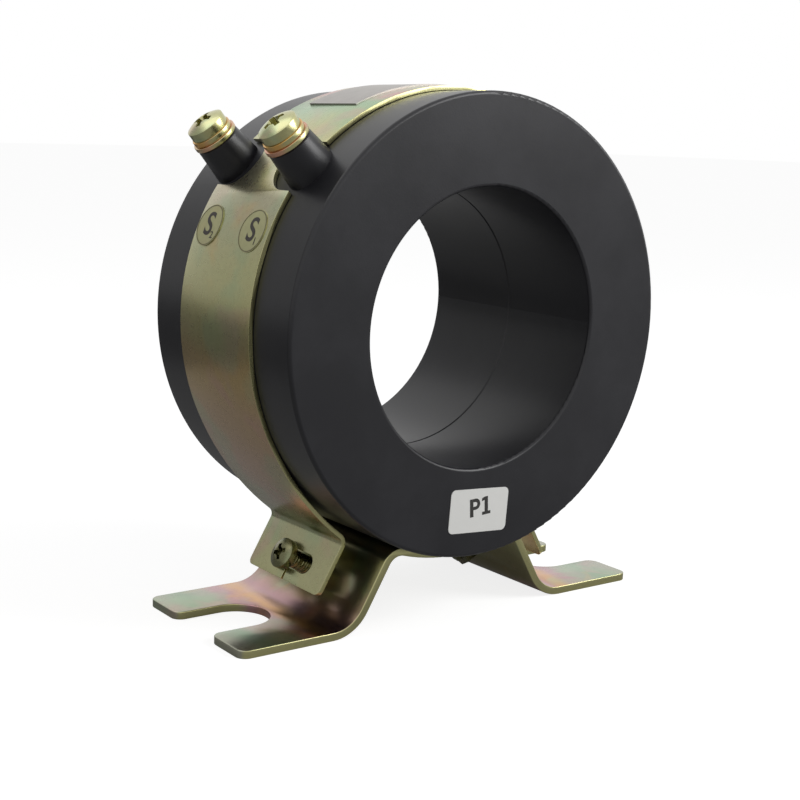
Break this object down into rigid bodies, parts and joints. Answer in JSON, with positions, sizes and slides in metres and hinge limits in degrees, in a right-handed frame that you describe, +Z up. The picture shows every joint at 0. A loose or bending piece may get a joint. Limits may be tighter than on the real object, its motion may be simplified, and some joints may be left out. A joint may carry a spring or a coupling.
{
  "type": "current transformer",
  "caption": "Window-type low-voltage current transformer: split moulded ring round a wound core, leaning screw terminals, plated clamp band with ears and a bent foot bracket with open slots.",
  "frame": {"origin": "centre of the window, on its axis and in the seam plane between the half shells", "axes": "+Y along the window from the front (P1) face to the rear (P2) face, +Z up from the feet, +X to the right as seen from the front"},
  "size_m": [0.1094, 0.0552, 0.1164],
  "materials": {
    "housing_black": "satin moulded thermoplastic",
    "core_steel": "tape-wound silicon steel, varnished",
    "insulation_paper": "insulation board",
    "winding_copper": "enamelled copper wire",
    "wrap_tape": "cotton and film tape",
    "insert_brass": "turned brass",
    "screw_zinc": "yellow zinc plate",
    "washer_zinc": "yellow zinc plate, iridescent",
    "band_zinc": "rolled strip, yellow zinc plate",
    "bracket_zinc": "bent sheet, yellow zinc plate",
    "clamp_zinc": "yellow zinc plate",
    "plate_grey": "thin satin sheet, blank",
    "label_white": "white film label",
    "label_film": "clear film label with a printed ring"
  },
  "bodies": {
    "root": {"front_shell": "housing_black", "rear_shell": "housing_black", "core": "core_steel", "core_insulation": "insulation_paper", "secondary_winding": "winding_copper", "winding_wrap": "wrap_tape", "start_lead": "winding_copper", "finish_lead": "winding_copper", "insert_s1": "insert_brass", "insert_s2": "insert_brass", "terminal_screw_s1": "screw_zinc", "terminal_screw_s2": "screw_zinc", "spring_washer_s1": "washer_zinc", "spring_washer_s2": "washer_zinc", "flat_washer_s1": "washer_zinc", "flat_washer_s2": "washer_zinc", "clamp_band": "band_zinc", "foot_bracket": "bracket_zinc", "clamp_screw_left": "clamp_zinc", "clamp_screw_right": "clamp_zinc", "clamp_nut_left": "clamp_zinc", "clamp_nut_right": "clamp_zinc", "rating_plate": "plate_grey", "label_p1": "label_white", "label_s1": "label_film", "label_s2": "label_film"}
  },
  "joints": []
}
